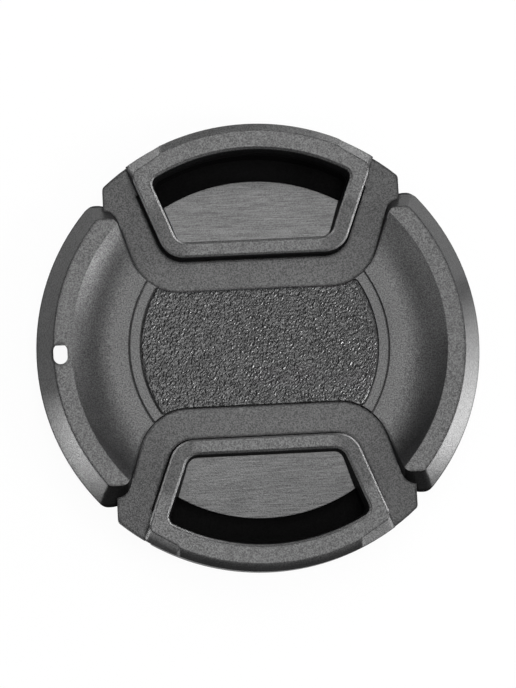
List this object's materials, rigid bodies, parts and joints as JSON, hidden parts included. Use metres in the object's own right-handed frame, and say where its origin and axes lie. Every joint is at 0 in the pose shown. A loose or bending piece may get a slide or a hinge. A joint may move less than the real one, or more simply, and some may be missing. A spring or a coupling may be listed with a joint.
{
  "type": "camera lens cap",
  "caption": "Round centre-pinch lens cap: sprung tabs slide inward to free snap teeth from a lens's filter thread. It has raised side wings, a grained centre panel and a tether hole.",
  "frame": {"origin": "centre of the rear rim's face, on the cap's axis", "axes": "+Z out of the front, +Y towards the top pinch tab, tether hole on the -X side"},
  "size_m": [0.061, 0.0616, 0.008],
  "materials": {
    "shell_plastic": "fine matte moulded grain",
    "tab_plastic": "fine matte moulded grain",
    "plate_plastic": "smooth matte moulding",
    "spring_steel": "drawn wire"
  },
  "bodies": {
    "cap_body": {"front_shell": "shell_plastic", "back_plate": "plate_plastic", "spring_left": "spring_steel", "spring_right": "spring_steel"},
    "top_tab": {"pinch_tab_top": "tab_plastic"},
    "bottom_tab": {"pinch_tab_bottom": "tab_plastic"}
  },
  "joints": [
    {"name": "top_tab_slide", "type": "slide", "parent": "cap_body", "child": "top_tab", "axis": [0, -1, 0], "range_m": [0, 0.002], "stiffness_N_per_m": 500, "springref_m": -0.003, "deforming": ["spring_left", "spring_right"]},
    {"name": "bottom_tab_slide", "type": "slide", "parent": "cap_body", "child": "bottom_tab", "axis": [0, 1, 0], "range_m": [0, 0.002], "stiffness_N_per_m": 500, "springref_m": -0.003, "deforming": ["spring_left", "spring_right"]}
  ]
}
